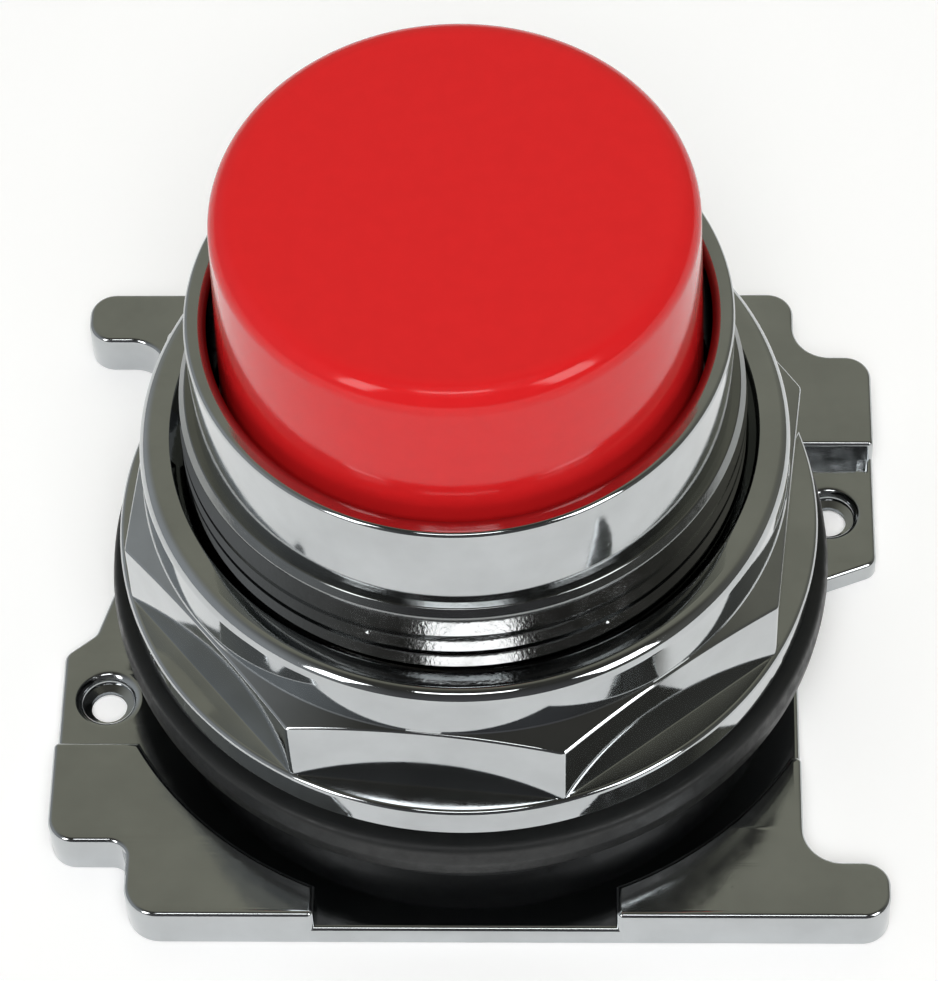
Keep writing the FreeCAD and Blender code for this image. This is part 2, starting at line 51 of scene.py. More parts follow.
# --- plate -------------------------------------------------------------------
PLATE_TOP = 2.9
SUNK_TOP = 1.4
SUNK_RADIUS = 20.7
CHANNEL_X = 8.1
STEP_Y = 10.05
TIP_Y = 10.9
EDGE = 0.3
OUTLINE = [
    (-18.4, -21, 1.9), (22.8, -21, 1.5), (22.8, -17.5, 1.4), (18.2, -17.5, 2.1),
    (18.2, 1.0, 1.0), (22.8, 2.85, 0.8), (22.8, 16.4, 1.5), (18.4, 16.4, 2.1),
    (18.4, 21, 1.5), (-22.8, 21, 1.5), (-22.8, 17.5, 1.4), (-18.2, 17.5, 2.1),
    (-18.2, 8, 1.0), (-21.15, -1.95, 0.8), (-22.8, -3.35, 0.8), (-22.8, -16.4, 1.5),
    (-18.4, -16.4, 1.0),
]
SCREW_HOLES = [(-20.2, -6.3), (20.2, 6.3)]
SCREW_HOLE_RADIUS = 1.4
BLOCK_BOTTOM = 0.4
BLOCK_GROWTH = 0.005

# --- bushing and nut -----------------------------------------------------------
THREAD_PITCH = 25.4 / 18
THREAD_CREST = 15.0
THREAD_ROOT = 14.25
KEYWAY_FLOOR = 14.1
KEYWAY_HALF = 1.5
BEZEL_RADIUS = 14.2
BEZEL_TOP = 28.8
LEDGE_TOP = 22.9
MOUTH_RADIUS = 13.05
CAVITY_RADIUS = 12.9
REAR_BORE = 10.2
REAR_BORE_WALL = REAR_BORE + 0.005
SHOULDER_RADIUS = 8.8
SHOULDER_BOTTOM = 7.6
SHOULDER_TOP = 9.0
RING_GROOVE_RADIUS = 11.0
RING_GROOVE_BOTTOM = 3.2
RING_GROOVE_TOP = 4.2
CORE_BOTTOM = 0.7
CORE_RADIUS = 14.0
LEDGE_RADIUS = 14.9
LEDGE_FLAT_RADIUS = 14.6
LEDGE_BOTTOM = LEDGE_TOP - 0.8
NUT_BOTTOM = 8.15
NUT_TOP = 18.75
FLANGE_RADIUS = 19.1
FLANGE_TOP = 10.3
HALF_FLATS = 17.5
FLATS_TOP = 15.4
CORNER_DROP = 0.68
COLLAR_RADIUS = 17.35
COLLAR_ROUNDING = 0.75
NUT_BORE = 15.06
NUT_MOUTH = 0.65
NUT_REAR_CHAMFER = 0.4
NUT_SIDES = 8
CORNER_TURN = 16.5
CORNER_EASE = 0.08

# --- gasket and button -----------------------------------------------------------
GASKET_BOTTOM = 4.9
GASKET_TOP = 7.5
GASKET_RADIUS = 19.8
GASKET_FACE_RADIUS = 19.65
CAP_TOP = 37.7
CAP_RADIUS = 12.35
CAP_ROUNDING = 1.4
CAP_SKIRT = 24.5
CAP_SKIRT_RADIUS = 12.65
CAP_INNER = 10.75
CAP_UNDERSIDE = 36.1
BOSS_BOTTOM = 31.0
BOSS_TOP = 36.3
BOSS_RADIUS = 4.0
SCREW_BORE = 1.53
RIB_INNER, RIB_OUTER, RIB_HALF = 3.7, 10.9, 0.5


# =============================================================================
# shapes
# =============================================================================
def rounded(corners, closed=True, arc_steps=9, hold=0.06):
    """Points along a line through corners (u, v, radius), with extra points that hold each edge."""
    count = len(corners)
    points = []
    for index, (u, v, radius) in enumerate(corners):
        here = Vector((u, v))
        inside = closed or 0 < index < count - 1
        if not inside:
            points.append(here)
            continue
        back = (Vector(corners[index - 1][:2]) - here).normalized()
        ahead = (Vector(corners[(index + 1) % count][:2]) - here).normalized()
        if radius <= 0:
            points += [here + back * hold, here, here + ahead * hold]
            continue
        half = back.angle(ahead) / 2
        centre = here + (back + ahead).normalized() * (radius / math.sin(half))
        start = here + back * (radius / math.tan(half))
        end = here + ahead * (radius / math.tan(half))
        first = math.atan2(start.y - centre.y, start.x - centre.x)
        sweep = math.atan2(end.y - centre.y, end.x - centre.x) - first
        sweep = (sweep + math.pi) % TAU - math.pi
        points.append(start + back * hold)
        for step in range(arc_steps + 1):
            angle = first + sweep * step / arc_steps
            points.append(centre + radius * Vector((math.cos(angle), math.sin(angle))))
        points.append(end + ahead * hold)
    return points


def mesh_piece(name, points, faces, material, body, sharp=32):
    """A smooth-shaded piece from millimetre points, riding on a CAD body."""
    mesh = bpy.data.meshes.new(name)
    mesh.from_pydata([Vector(p) * MM for p in points], [], faces)
    shape = bmesh.new()
    shape.from_mesh(mesh)
    bmesh.ops.remove_doubles(shape, verts=shape.verts, dist=2e-7)
    bmesh.ops.dissolve_degenerate(shape, edges=shape.edges, dist=2e-7)
    bmesh.ops.recalc_face_normals(shape, faces=shape.faces)
    shape.to_mesh(mesh)
    shape.free()
    mesh.shade_smooth()
    mesh.set_sharp_from_angle(angle=math.radians(sharp))
    piece = bpy.data.objects.new(name, mesh)
    bpy.context.scene.collection.objects.link(piece)
    weighted = piece.modifiers.new("weighted normals", "WEIGHTED_NORMAL")
    weighted.mode = "FACE_AREA"
    weighted.keep_sharp = True
    mesh.materials.append(material)
    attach(piece, body)
    return piece


def grid_faces(columns, rows):
    """Quads of a grid that closes on itself both ways."""
    faces = []
    for c in range(columns):
        n = (c + 1) % columns
        for r in range(rows):
            s = (r + 1) % rows
            faces.append((c * rows + r, n * rows + r, n * rows + s, c * rows + s))
    return faces


def lathe(name, corners, material, body, columns=300, sharp=32):
    """A turned piece from a closed profile of corners (radius, height, rounding)."""
    profile = rounded(corners)
    points = []
    for c in range(columns):
        x, y = math.cos(TAU * c / columns), math.sin(TAU * c / columns)
        points += [(p.x * x, p.x * y, p.y) for p in profile]
    return mesh_piece(name, points, grid_faces(columns, len(profile)), material, body, sharp)


def circle(x, y, radius, steps=72):
    """A clockwise circle, for a hole."""
    return [Vector((x + radius * math.cos(TAU * s / steps), y - radius * math.sin(TAU * s / steps)))
            for s in range(steps)]


def inset(loop, distance):
    """The loop moved to its left by a distance, corner by corner."""
    moved = []
    count = len(loop)
    for index, here in enumerate(loop):
        first = (here - loop[index - 1]).normalized()
        second = (loop[(index + 1) % count] - here).normalized()
        normal_a, normal_b = Vector((-first.y, first.x)), Vector((-second.y, second.x))
        middle = (normal_a + normal_b).normalized()
        moved.append(here + middle * (distance / max(0.2, middle.dot(normal_a))))
    return moved


def edge_layers(bottom, top, bottom_round, top_round, steps=5):
    """(inset, height) pairs up the side of a slab with rounded edges."""
    layers = []
    for step in range(steps + 1):
        angle = math.pi / 2 * step / steps
        layers.append((bottom_round * (1 - math.sin(angle)),
                       bottom + bottom_round * (1 - math.cos(angle))))
    for step in range(steps + 1):
        angle = math.pi / 2 * step / steps
        layers.append((top_round * (1 - math.cos(angle)),
                       top - top_round * (1 - math.sin(angle))))
    return layers


def slab(name, loops, material, body):
    """A flat-topped piece from (loop, layers) pairs: the outline first, then its holes."""
    points, faces = [], []
    lower, upper = [], []
    for loop, layers in loops:
        count = len(loop)
        base = len(points)
        for distance, height in layers:
            points += [(p.x, p.y, height) for p in inset(loop, distance)]
        for level in range(len(layers) - 1):
            row = base + level * count
            for i in range(count):
                j = (i + 1) % count
                faces.append((row + i, row + j, row + count + j, row + count + i))
        lower.append(range(base, base + count))
        upper.append(range(base + (len(layers) - 1) * count, base + len(layers) * count))
    for ends in (lower, upper):
        order = [i for ring in ends for i in ring]
        for face in tessellate_polygon([[Vector(points[i]) for i in ring] for ring in ends]):
            faces.append(tuple(order[i] for i in face))
    return mesh_piece(name, points, faces, material, body)


def arc(radius, start, end, steps):
    """Points on a circle round the axis, from one point's direction to another's."""
    a, b = math.atan2(start[1], start[0]), math.atan2(end[1], end[0])
    sweep = (b - a + math.pi) % TAU - math.pi
    return [Vector((radius * math.cos(a + sweep * s / steps), radius * math.sin(a + sweep * s / steps)))
            for s in range(1, steps)]


# =============================================================================
# materials
# =============================================================================
def new_material(name):
    """A material with its node tree, its shader and object coordinates in metres."""
    made = bpy.data.materials.new(name)
    made.use_nodes = True
    tree = made.node_tree
    shader = tree.nodes["Principled BSDF"]
    coords = tree.nodes.new("ShaderNodeTexCoord")
    return made, tree, shader, coords.outputs["Object"]


def noise(tree, coords, scale, detail=3.0, roughness=0.55, stretch=None):
    """Noise at a scale in cycles per metre; stretch squeezes the pattern along each axis."""
    if stretch:
        mapping = tree.nodes.new("ShaderNodeMapping")
        mapping.inputs["Scale"].default_value = stretch
        tree.links.new(coords, mapping.inputs["Vector"])
        coords = mapping.outputs["Vector"]
    node = tree.nodes.new("ShaderNodeTexNoise")
    node.inputs["Scale"].default_value = scale
    node.inputs["Detail"].default_value = detail
    node.inputs["Roughness"].default_value = roughness
    tree.links.new(coords, node.inputs["Vector"])
    return node.outputs["Fac"]


def specks(tree, coords, scale, size):
    """Small round spots, one in some of the cells of a Voronoi pattern."""
    cells = tree.nodes.new("ShaderNodeTexVoronoi")
    cells.inputs["Scale"].default_value = scale
    tree.links.new(coords, cells.inputs["Vector"])
    near = ramp(tree, cells.outputs["Distance"], [(0.0, 1.0), (size, 0.0)])
    pick = tree.nodes.new("ShaderNodeSeparateColor")
    tree.links.new(cells.outputs["Color"], pick.inputs["Color"])
    chosen = ramp(tree, pick.outputs["Red"], [(0.80, 0.0), (0.86, 1.0)])
    return maths(tree, near, chosen)


def ramp(tree, value, stops):
    """A value or colour ramp: stops are (position, grey or (r, g, b))."""
    node = tree.nodes.new("ShaderNodeValToRGB")
    elements = node.color_ramp.elements
    while len(elements) < len(stops):
        elements.new(0.5)
    for element, (position, colour) in zip(elements, stops):
        element.position = position
        element.color = (*colour, 1) if isinstance(colour, tuple) else (colour, colour, colour, 1)
    tree.links.new(value, node.inputs["Fac"])
    return node.outputs["Color"]


def maths(tree, a, b, operation="MULTIPLY"):
    """One maths node on two values or sockets."""
    node = tree.nodes.new("ShaderNodeMath")
    node.operation = operation
    for socket, value in zip(node.inputs, (a, b)):
        if isinstance(value, (int, float)):
            socket.default_value = value
        else:
            tree.links.new(value, socket)
    return node.outputs["Value"]


def bump(tree, shader, layers):
    """Chained bumps: layers are (height, distance in metres)."""
    normal = None
    for height, distance in layers:
        node = tree.nodes.new("ShaderNodeBump")
        node.inputs["Strength"].default_value = 1.0
        node.inputs["Distance"].default_value = distance
        tree.links.new(height, node.inputs["Height"])
        if normal:
            tree.links.new(normal, node.inputs["Normal"])
        normal = node.outputs["Normal"]
    tree.links.new(normal, shader.inputs["Normal"])


def chrome_material(name, tone, rough, wave, grain):
    """Bright plating over a casting: slight waviness, fine grain, pits and hazy patches."""
    made, tree, shader, coords = new_material(name)
    shader.inputs["Metallic"].default_value = 1.0
    patches = noise(tree, coords, 260, 4.0)
    dark = tuple(c * 0.94 for c in tone)
    light = tuple(min(1.0, c * 1.05) for c in tone)
    tree.links.new(ramp(tree, patches, [(0.35, dark), (0.65, light)]), shader.inputs["Base Color"])
    haze = noise(tree, coords, 900, 5.0, 0.65)
    roughness = ramp(tree, haze, [(0.35, rough * 0.7), (0.7, rough * 1.5)])
    tree.links.new(roughness, shader.inputs["Roughness"])
    bump(tree, shader, [
        (noise(tree, coords, 170, 2.0), wave),
        (noise(tree, coords, 1100, 1.0), wave * 0.1),
        (noise(tree, coords, 5200, 2.0), grain),
        (specks(tree, coords, 900, 0.16), grain * 4),
    ])
    return made


def plastic_material(name, colour, rough, grain, spots=0.0, level=0.5, mottled=0.06):
    """A moulded material: faint mottling, orange peel and the odd speck of dust."""
    made, tree, shader, coords = new_material(name)
    mottle = noise(tree, coords, 900, 4.0)
    dark = tuple(c * (1 - mottled) for c in colour)
    light = tuple(min(1.0, c * (1 + mottled)) for c in colour)
    tree.links.new(ramp(tree, mottle, [(0.35, dark), (0.65, light)]), shader.inputs["Base Color"])
    haze = noise(tree, coords, 1500, 4.0, 0.6)
    roughness = ramp(tree, haze, [(0.35, rough * 0.8), (0.7, rough * 1.3)])
    tree.links.new(roughness, shader.inputs["Roughness"])
    shader.inputs["Specular IOR Level"].default_value = level
    layers = [(noise(tree, coords, 2600, 3.0), grain)]
    if spots:
        layers.append((specks(tree, coords, 700, 0.12), spots))
    bump(tree, shader, layers)
    return made


def metal_material(name, tone, rough, stretch):
    """Plain metal with fine turning marks."""
    made, tree, shader, coords = new_material(name)
    shader.inputs["Metallic"].default_value = 1.0
    marks = noise(tree, coords, 1400, 4.0, 0.6, stretch)
    dark = tuple(c * 0.82 for c in tone)
    tree.links.new(ramp(tree, marks, [(0.35, dark), (0.65, tone)]), shader.inputs["Base Color"])
    roughness = ramp(tree, marks, [(0.3, rough * 0.75), (0.7, rough * 1.35)])
    tree.links.new(roughness, shader.inputs["Roughness"])
    bump(tree, shader, [(marks, 0.00001)])
    return made


CHROME_TONE = (0.50, 0.52, 0.53)
# Painted shade: the ledge's chrome is a darker copy of the bushing's chrome, standing for the dark
# reflection on the ledge.
LEDGE_PAINTED_SHADE_TONE = (0.26, 0.27, 0.27)
# Painted shade: the thread's chrome is a darker copy of the same chrome, standing for the shade in the
# recess between the bezel and the nut.
THREAD_PAINTED_SHADE_TONE = (0.22, 0.225, 0.225)
chrome_plate = chrome_material("chrome on the plate", CHROME_TONE, 0.10, 0.000030, 0.0000009)
chrome_turned = chrome_material("chrome on the bushing", CHROME_TONE, 0.06, 0.000006, 0.0000005)
# Painted shade: the ledge gets a darker copy of the bushing's chrome.
chrome_ledge_painted_shade = chrome_material("chrome on the ledge, darkened as painted shade", LEDGE_PAINTED_SHADE_TONE, 0.12, 0.000010, 0.0000020)
# Painted shade: the thread gets a darker copy of the bushing's chrome.
chrome_thread_painted_shade = chrome_material("chrome on the thread, darkened as painted shade", THREAD_PAINTED_SHADE_TONE, 0.10, 0.000014, 0.0000060)
chrome_nut = chrome_material("chrome on the nut", CHROME_TONE, 0.05, 0.000006, 0.0000004)
red_plastic = plastic_material("red cap", (0.72, 0.016, 0.018), 0.11, 0.0000008, 0.000005,
                               level=0.29, mottled=0.015)
gasket_rubber = plastic_material("gasket rubber", (0.009, 0.0098, 0.010), 0.45, 0.000010, 0.000010,
                                 level=0.38)
boot_rubber = plastic_material("boot rubber", (0.012, 0.012, 0.012), 0.55, 0.000006)
black_plastic = plastic_material("black moulding", (0.016, 0.016, 0.017), 0.38, 0.000005)
white_acetal = plastic_material("natural acetal", (0.74, 0.72, 0.66), 0.34, 0.000003)
plated_steel = metal_material("plated steel", (0.60, 0.60, 0.57), 0.24, (1, 1, 1))
spring_steel = metal_material("spring steel", (0.42, 0.42, 0.43), 0.30, (1, 1, 6))
aluminium = metal_material("turned aluminium", (0.70, 0.70, 0.72), 0.28, (1, 1, 14))


# =============================================================================
# housing: plate, raised blocks, bushing, thread
# =============================================================================
def screw_hole_side():
    """(inset, height) pairs up a screw hole: thread ridges below, a rounded mouth above."""
    ridge_out, ridge_in, ridge_step = 0.05, -0.40, 0.15
    side = [(0.30, 0.0), (ridge_out, 0.14)]
    side += [(ridge_out if step % 2 else ridge_in, 0.22 + ridge_step * step) for step in range(4)]
    return side + [pair for pair in edge_layers(0.0, SUNK_TOP, 0.0, 0.55, 8) if pair[1] > 0.84]


def on_circle_x(x, sign):
    """The point on the sunk circle at a given x."""
    return (x, sign * math.sqrt(SUNK_RADIUS ** 2 - x * x))


def on_circle_y(y, sign):
    """The point on the sunk circle at a given y."""
    return (sign * math.sqrt(SUNK_RADIUS ** 2 - y * y), y)


def nearest(chain, target):
    """Index of the point of a chain that is nearest to a target."""
    return min(range(len(chain)), key=lambda i: (chain[i] - Vector(target)).length)


def build_plate():
    outline = rounded(OUTLINE, arc_steps=14)
    loops = [(outline, edge_layers(0.0, SUNK_TOP, 0.15, EDGE)),
             (circle(0, 0, REAR_BORE, 200), edge_layers(0.0, SUNK_TOP, 0.25, 0.05))]
    loops += [(circle(x, y, SCREW_HOLE_RADIUS), screw_hole_side()) for x, y in SCREW_HOLES]
    floor = slab("plate_floor", loops, chrome_plate, "housing")
    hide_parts("base_housing")

    # Each raised block: outline corners, then the arc of the sunk circle that closes it.
    blocks = {
        "block_front_left": (
            [(-22.8, -16.4, 1.5), (-18.4, -16.4, 1.0), (-18.4, -21, 1.9), (-CHANNEL_X, -21, 0.4)],
            on_circle_x(-CHANNEL_X, -1), on_circle_y(-STEP_Y, -1), (-22.8, -STEP_Y, 0.3)),
        "block_front_right": (
            [(CHANNEL_X, -21, 0.4), (22.8, -21, 1.5), (22.8, -17.5, 1.4), (18.2, -17.5, 2.1),
             (18.2, -TIP_Y, 0.3)],
            on_circle_y(-TIP_Y, 1), on_circle_x(CHANNEL_X, -1), None),
        "block_back_right": (
            [(22.8, STEP_Y, 0.3), (22.8, 16.4, 1.5), (18.4, 16.4, 2.1), (18.4, 21, 1.5),
             (CHANNEL_X, 21, 0.4)],
            on_circle_x(CHANNEL_X, 1), on_circle_y(STEP_Y, 1), None),
        "block_back_left": (
            [(-CHANNEL_X, 21, 0.4), (-22.8, 21, 1.5), (-22.8, 17.5, 1.4), (-18.2, 17.5, 2.1),
             (-18.2, TIP_Y, 0.3)],
            on_circle_y(TIP_Y, -1), on_circle_x(-CHANNEL_X, 1), None),
    }
    block_side = edge_layers(BLOCK_BOTTOM, PLATE_TOP, 0.02, EDGE)
    for name, (corners, start, end, last) in blocks.items():
        closing = [(*start, 0.0), (*end, 0.0)] + ([last] if last else [])
        chain = rounded(corners + closing, arc_steps=14)
        leave, rejoin = nearest(chain, start), nearest(chain, end)
        loop = chain[:leave + 1] + arc(SUNK_RADIUS, start, end, 40) + chain[rejoin:]
        block = slab(name, [(inset(loop, -BLOCK_GROWTH), block_side)],
                     chrome_plate, "housing")
        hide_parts("base_housing")


def build_bushing():
    core = lathe("bushing", [
        (REAR_BORE_WALL, CORE_BOTTOM, 0), (CORE_RADIUS, CORE_BOTTOM, 0), (CORE_RADIUS, LEDGE_BOTTOM, 0),
        (BEZEL_RADIUS, LEDGE_BOTTOM, 0), (BEZEL_RADIUS, BEZEL_TOP, 0.3),
        (MOUTH_RADIUS, BEZEL_TOP, 0.5), (MOUTH_RADIUS, 21.9, 0), (CAVITY_RADIUS, 21.5, 0),
        (CAVITY_RADIUS, SHOULDER_TOP, 0.1), (SHOULDER_RADIUS, SHOULDER_TOP, 0.1),
        (SHOULDER_RADIUS, SHOULDER_BOTTOM, 0.1), (REAR_BORE_WALL, SHOULDER_BOTTOM, 0),
        (REAR_BORE_WALL, RING_GROOVE_TOP, 0), (RING_GROOVE_RADIUS, RING_GROOVE_TOP, 0),
        (RING_GROOVE_RADIUS, RING_GROOVE_BOTTOM, 0), (REAR_BORE_WALL, RING_GROOVE_BOTTOM, 0),
    ], chrome_turned, "housing", columns=400)
    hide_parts("base_housing")
    ledge = lathe("bezel_ledge", [
        (CORE_RADIUS + 0.02, LEDGE_BOTTOM + 0.02, 0), (14.3, LEDGE_BOTTOM + 0.02, 0),
        (LEDGE_RADIUS, LEDGE_TOP - 0.6, 0.06), (LEDGE_RADIUS, LEDGE_TOP - 0.42, 0.1),
        (LEDGE_FLAT_RADIUS, LEDGE_TOP, 0.16), (CORE_RADIUS + 0.02, LEDGE_TOP + 0.02, 0),
    ], chrome_ledge_painted_shade, "housing", columns=400)
    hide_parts("base_housing")


def thread_profile():
    """(phase, radius) down one pitch of a sixty-degree thread: root, flank, crest, flank."""
    depth = THREAD_CREST - THREAD_ROOT
    run = depth / math.tan(math.radians(60)) / THREAD_PITCH
    root_half = 0.06
    crest = root_half + run
    return [(0.0, THREAD_ROOT), (root_half, THREAD_ROOT), (crest, THREAD_CREST), (0.5, THREAD_CREST),
            (1 - crest, THREAD_CREST), (1 - root_half, THREAD_ROOT)]


def build_thread():
    """The helical thread, with the keyway cut along its left side."""
    bottom, top = 1.45, LEDGE_TOP - 0.66
    inner = 13.7
    columns = 240
    profile = thread_profile()
    key_half = math.asin(KEYWAY_HALF / THREAD_CREST)
    angles = [TAU * c / columns - math.pi for c in range(columns)]
    angles = [a for a in angles if abs(abs(a) - math.pi) > 1e-9]
    for side in (-1, 1):
        angles += [side * (math.pi - key_half), side * (math.pi - key_half + 0.002)]
    angles += [math.pi]
    angles.sort()
    turns = int((top - bottom) / THREAD_PITCH) + 3
    rows = [(turn + phase - 1.5, radius) for turn in range(turns) for phase, radius in profile]
    points = []
    for angle in angles:
        in_key = math.pi - abs(angle) < key_half - 0.001
        column = []
        for lift, radius in rows:
            height = bottom + (lift + angle / TAU) * THREAD_PITCH
            if height < bottom or height > top:
                radius = THREAD_ROOT
            fade = min(1.0, max(0.0, (top - height) / (0.5 * THREAD_PITCH)))
            radius = THREAD_ROOT + (radius - THREAD_ROOT) * fade
            if in_key:
                radius = KEYWAY_FLOOR
            height = min(top, max(bottom, height))
            column.append((radius * math.cos(angle), radius * math.sin(angle), height))
        column.append((inner * math.cos(angle), inner * math.sin(angle), top))
        column.append((inner * math.cos(angle), inner * math.sin(angle), bottom))
        points += column
    faces = grid_faces(len(angles), len(rows) + 2)
    thread = mesh_piece("bushing_thread", points, faces, chrome_thread_painted_shade, "housing", 50)
    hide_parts("base_housing")


# =============================================================================
# nut
# =============================================================================
def octagon_radius(angle):
    """Distance from the axis to the wrench flats in a direction, corners slightly eased."""
    eighth = TAU / NUT_SIDES
    corner = math.radians(CORNER_TURN)
    from_flat = (angle - corner) % eighth - eighth / 2
    sharp_radius = HALF_FLATS / math.cos(from_flat)
    sharp_corner = HALF_FLATS / math.cos(eighth / 2)
    eased = sharp_corner - 0.035
    blend = 0.02
    gap = eased - sharp_radius
    return eased - (gap + math.sqrt(gap * gap + blend * blend)) / 2


def nut_angles():
    """Directions round the nut: close together at the corners, even along the flats."""
    eighth = TAU / NUT_SIDES
    near = [0.0006, 0.0012, 0.002, 0.003, 0.0042, 0.006, 0.009, 0.013]
    along = [0.02 + (eighth - 0.04) * s / 40 for s in range(41)]
    steps = sorted([0.0] + near + along + [eighth - n for n in near])
    return [math.radians(CORNER_TURN) + side * eighth + s for side in range(NUT_SIDES) for s in steps]


def build_nut():
    """One profile per direction: flange, flat, chamfered top of the octagon, collar and bore."""
    angles = nut_angles()
    corner_radius = HALF_FLATS / math.cos(math.pi / NUT_SIDES)
    slope = CORNER_DROP / (corner_radius - HALF_FLATS)
    flange_in = FLANGE_RADIUS - EDGE
    points = []
    for angle in angles:
        flat = octagon_radius(angle)
        top = FLATS_TOP - slope * (flat - HALF_FLATS)
        profile = rounded([
            (NUT_BORE + NUT_REAR_CHAMFER, NUT_BOTTOM, 0), (FLANGE_RADIUS, NUT_BOTTOM, 0.3),
            (FLANGE_RADIUS, FLANGE_TOP - EDGE, 0),
        ], closed=False)

        # The flange's rounded rim, cut short where a corner of the octagon reaches into it.
        beyond = max(0.0, min(1.0, (flat - flange_in) / EDGE))
        end_angle = math.acos(beyond)
        for step in range(1, 9):
            turn = end_angle * step / 8
            out, up = flange_in + EDGE * math.cos(turn), FLANGE_TOP - EDGE + EDGE * math.sin(turn)
            profile.append(Vector((out, up)))
        foot = profile[-1].y
        if flat <= flange_in:
            profile.append(Vector((max(flat + 0.04, min(flange_in, flat + 0.08)), FLANGE_TOP)))
        else:
            profile.append(Vector((flat + 0.0005, foot)))

        # The flat and its eased top edge; extra rows hold the shading near every edge.
        ease = CORNER_EASE
        profile += [
            Vector((flat, foot + 0.02)), Vector((flat, foot + 0.12)),
            Vector((flat, top - ease - 0.08)), Vector((flat, top - ease)),
            Vector((flat - ease * 0.13, top - ease * 0.5)),
            Vector((flat - ease * 0.5, top - ease * 0.13)),
        ]
        land_width = flat - ease - COLLAR_RADIUS
        for out in (land_width, land_width - min(0.05, land_width * 0.2),
                    min(0.10, land_width * 0.6), min(0.05, land_width * 0.4)):
            reach = COLLAR_RADIUS + out
            profile.append(Vector((reach, FLATS_TOP - slope * (reach - HALF_FLATS))))

        land = FLATS_TOP - slope * (COLLAR_RADIUS - HALF_FLATS)
        profile.append(Vector((COLLAR_RADIUS, land + 0.05)))
        profile += rounded([
            (COLLAR_RADIUS, land + 0.12, 0), (COLLAR_RADIUS, NUT_TOP, COLLAR_ROUNDING),
            (NUT_BORE + NUT_MOUTH, NUT_TOP, 0.06), (NUT_BORE, NUT_TOP - NUT_MOUTH, 0),
            (NUT_BORE, NUT_BOTTOM + NUT_REAR_CHAMFER, 0), (NUT_BORE + NUT_REAR_CHAMFER, NUT_BOTTOM, 0),
        ], closed=False)[:-1]
        points += [(p.x * math.cos(angle), p.x * math.sin(angle), p.y) for p in profile]
    faces = grid_faces(len(angles), len(points) // len(angles))
    nut = mesh_piece("octagon_nut", points, faces, chrome_nut, "nut", 28)
    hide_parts("mounting_nut")


# =============================================================================
# gasket, cap and the soft inner pieces
# =============================================================================
def build_gasket():
    gasket = lathe("rubber_gasket", [
        (THREAD_CREST + 0.05, GASKET_BOTTOM, 0.1), (GASKET_FACE_RADIUS, GASKET_BOTTOM, 0.45),
        (GASKET_RADIUS, (GASKET_BOTTOM + GASKET_TOP) / 2, 1.2), (GASKET_FACE_RADIUS, GASKET_TOP, 0.45),
        (THREAD_CREST + 0.05, GASKET_TOP, 0.1),
    ], gasket_rubber, "housing", columns=300, sharp=60)
    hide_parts("panel_gasket")


def build_cap():
    cap = lathe("red_cap", [
        (0, CAP_UNDERSIDE, 0), (CAP_INNER, CAP_UNDERSIDE, 0.6), (CAP_INNER, CAP_SKIRT, 0),
        (CAP_SKIRT_RADIUS, CAP_SKIRT, 0.4), (CAP_RADIUS, CAP_TOP - 0.02, CAP_ROUNDING), (0, CAP_TOP, 0),
    ], red_plastic, "button", columns=400, sharp=60)
    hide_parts("button_cap")
    boss = lathe("cap_boss", [
        (SCREW_BORE, BOSS_BOTTOM, 0.1), (BOSS_RADIUS, BOSS_BOTTOM, 0.1), (BOSS_RADIUS, BOSS_TOP, 0),
        (SCREW_BORE, BOSS_TOP, 0),
    ], red_plastic, "button", columns=96)
    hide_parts("button_cap")
    corners = [(RIB_INNER, -RIB_HALF), (RIB_OUTER, -RIB_HALF),
               (RIB_OUTER, RIB_HALF), (RIB_INNER, RIB_HALF)]
    rib_side = edge_layers(BOSS_BOTTOM, BOSS_TOP, 0.12, 0.02, 3)
    for quarter in range(4):
        turn = Matrix.Rotation(math.radians(90 * quarter), 3, "Z")
        rib_loop = [(turn @ Vector((*corner, 0))).to_2d() for corner in corners]
        rib = slab(f"cap_rib_{quarter + 1}", [(rib_loop, rib_side)],
                   red_plastic, "button")
        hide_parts("button_cap")


def build_spring():
    coils, wire, mean = 5.5, 0.4, 6.9
    low, high = 8.05, 18.35
    steps, around = 330, 16
    points = []
    for step in range(steps + 1):
        angle = TAU * coils * step / steps
        out = Vector((math.cos(angle), math.sin(angle), 0))
        centre = out * mean + Vector((0, 0, low + (high - low) * step / steps))
        for side in range(around):
            turn = TAU * side / around
            points.append(centre + (out * math.cos(turn) + Vector((0, 0, 1)) * math.sin(turn)) * wire)
    faces = []
    for step in range(steps):
        for side in range(around):
            nxt = (side + 1) % around
            faces.append((step * around + side, step * around + nxt,
                          (step + 1) * around + nxt, (step + 1) * around + side))
    faces.append(tuple(range(around)))
    faces.append(tuple(steps * around + side for side in range(around)))
    spring = mesh_piece("coil_spring", points, faces, spring_steel, "housing", 50)
    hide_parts("return_spring")
    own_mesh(spring)


def build_diaphragm():
    boot = lathe("rubber_boot", [
        (11.2, 9.0, 0.15), (12.85, 9.0, 0.15), (12.85, 10.4, 0.15), (11.7, 10.4, 0.3),
        (10.0, 19.0, 1.2), (8.9, 21.7, 0.8), (6.6, 21.7, 0.2), (6.6, 22.9, 0.1), (5.03, 22.9, 0.05),
        (5.03, 20.95, 0.05), (8.5, 20.95, 0.7), (9.3, 18.8, 1.2), (10.95, 10.4, 0.3),
    ], boot_rubber, "housing", columns=160, sharp=60)
    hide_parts("seal_diaphragm")
    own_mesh(boot)


build_plate()
build_bushing()
build_thread()
build_nut()
build_gasket()
build_cap()
build_spring()
build_diaphragm()

